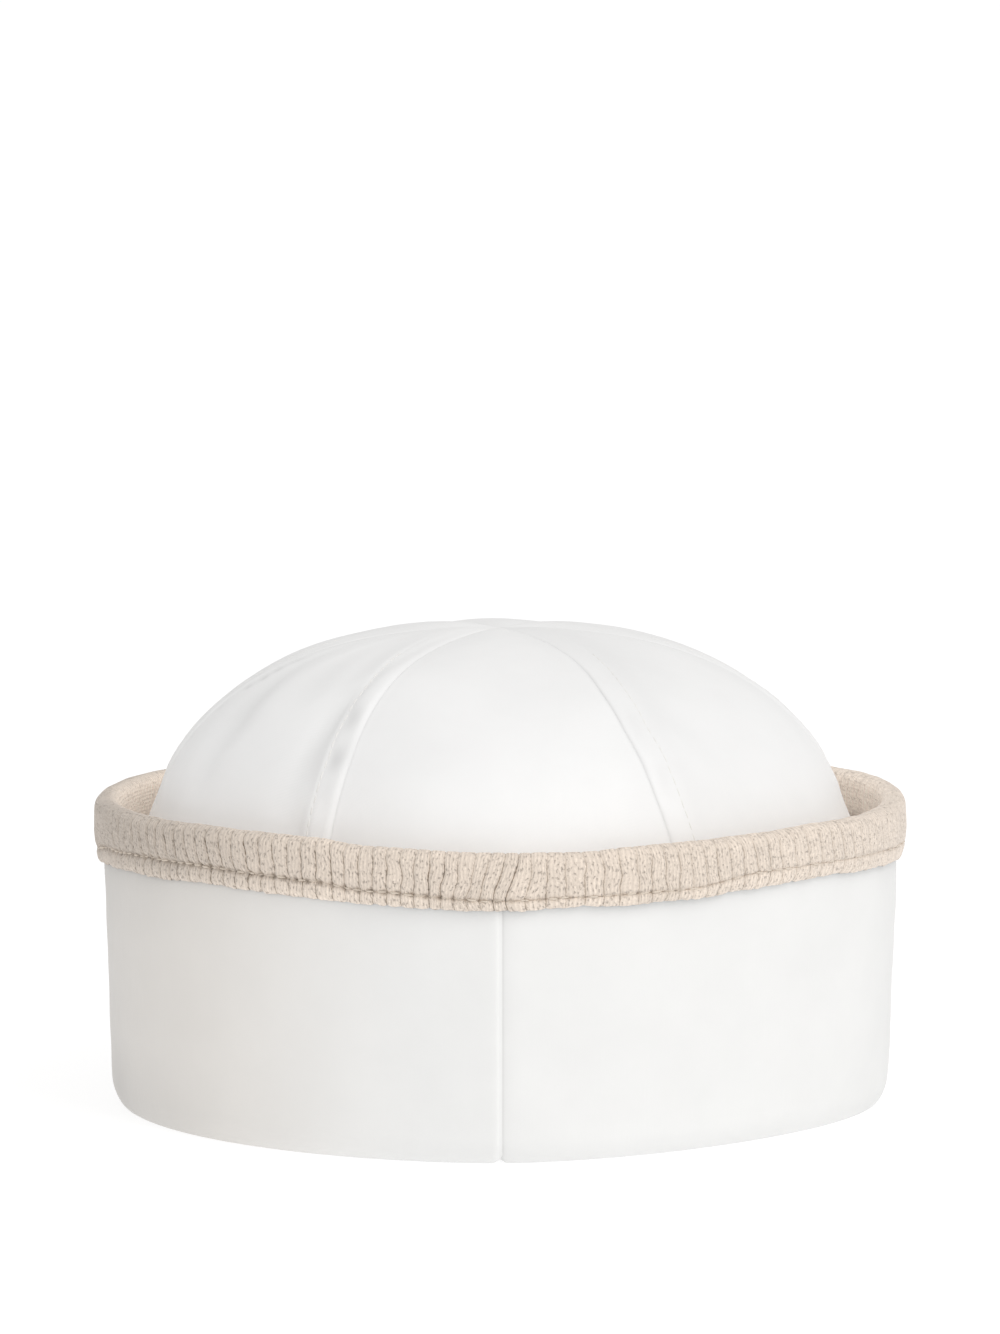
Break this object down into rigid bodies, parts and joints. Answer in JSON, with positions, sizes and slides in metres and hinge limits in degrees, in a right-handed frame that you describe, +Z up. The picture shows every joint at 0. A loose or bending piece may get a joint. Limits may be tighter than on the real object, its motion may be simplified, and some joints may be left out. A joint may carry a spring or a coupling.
{
  "type": "sailor cap",
  "caption": "Soft sailor cap with a domed gored crown, a tall turned-up cuff and a ribbed-knit binding along the cuff's top edge.",
  "frame": {"origin": "middle of the ring that the cap rests on, at the bottom of the cuff's fold", "axes": "+Z up through the tip of the crown, -Y towards the back of the cap, +X towards its right side as seen from the back"},
  "size_m": [0.2003, 0.2136, 0.117],
  "materials": {
    "crown_satin": "off-white woven satin, soft sheen",
    "cuff_satin": "off-white woven satin, soft sheen",
    "ribbed_knit": "beige ribbed cotton knit, matt"
  },
  "bodies": {
    "root": {"crown_panel_1": "crown_satin", "crown_panel_2": "crown_satin", "crown_panel_3": "crown_satin", "crown_panel_4": "crown_satin", "crown_panel_5": "crown_satin", "crown_panel_6": "crown_satin", "cuff_left": "cuff_satin", "cuff_right": "cuff_satin", "cuff_binding": "ribbed_knit"}
  },
  "joints": []
}
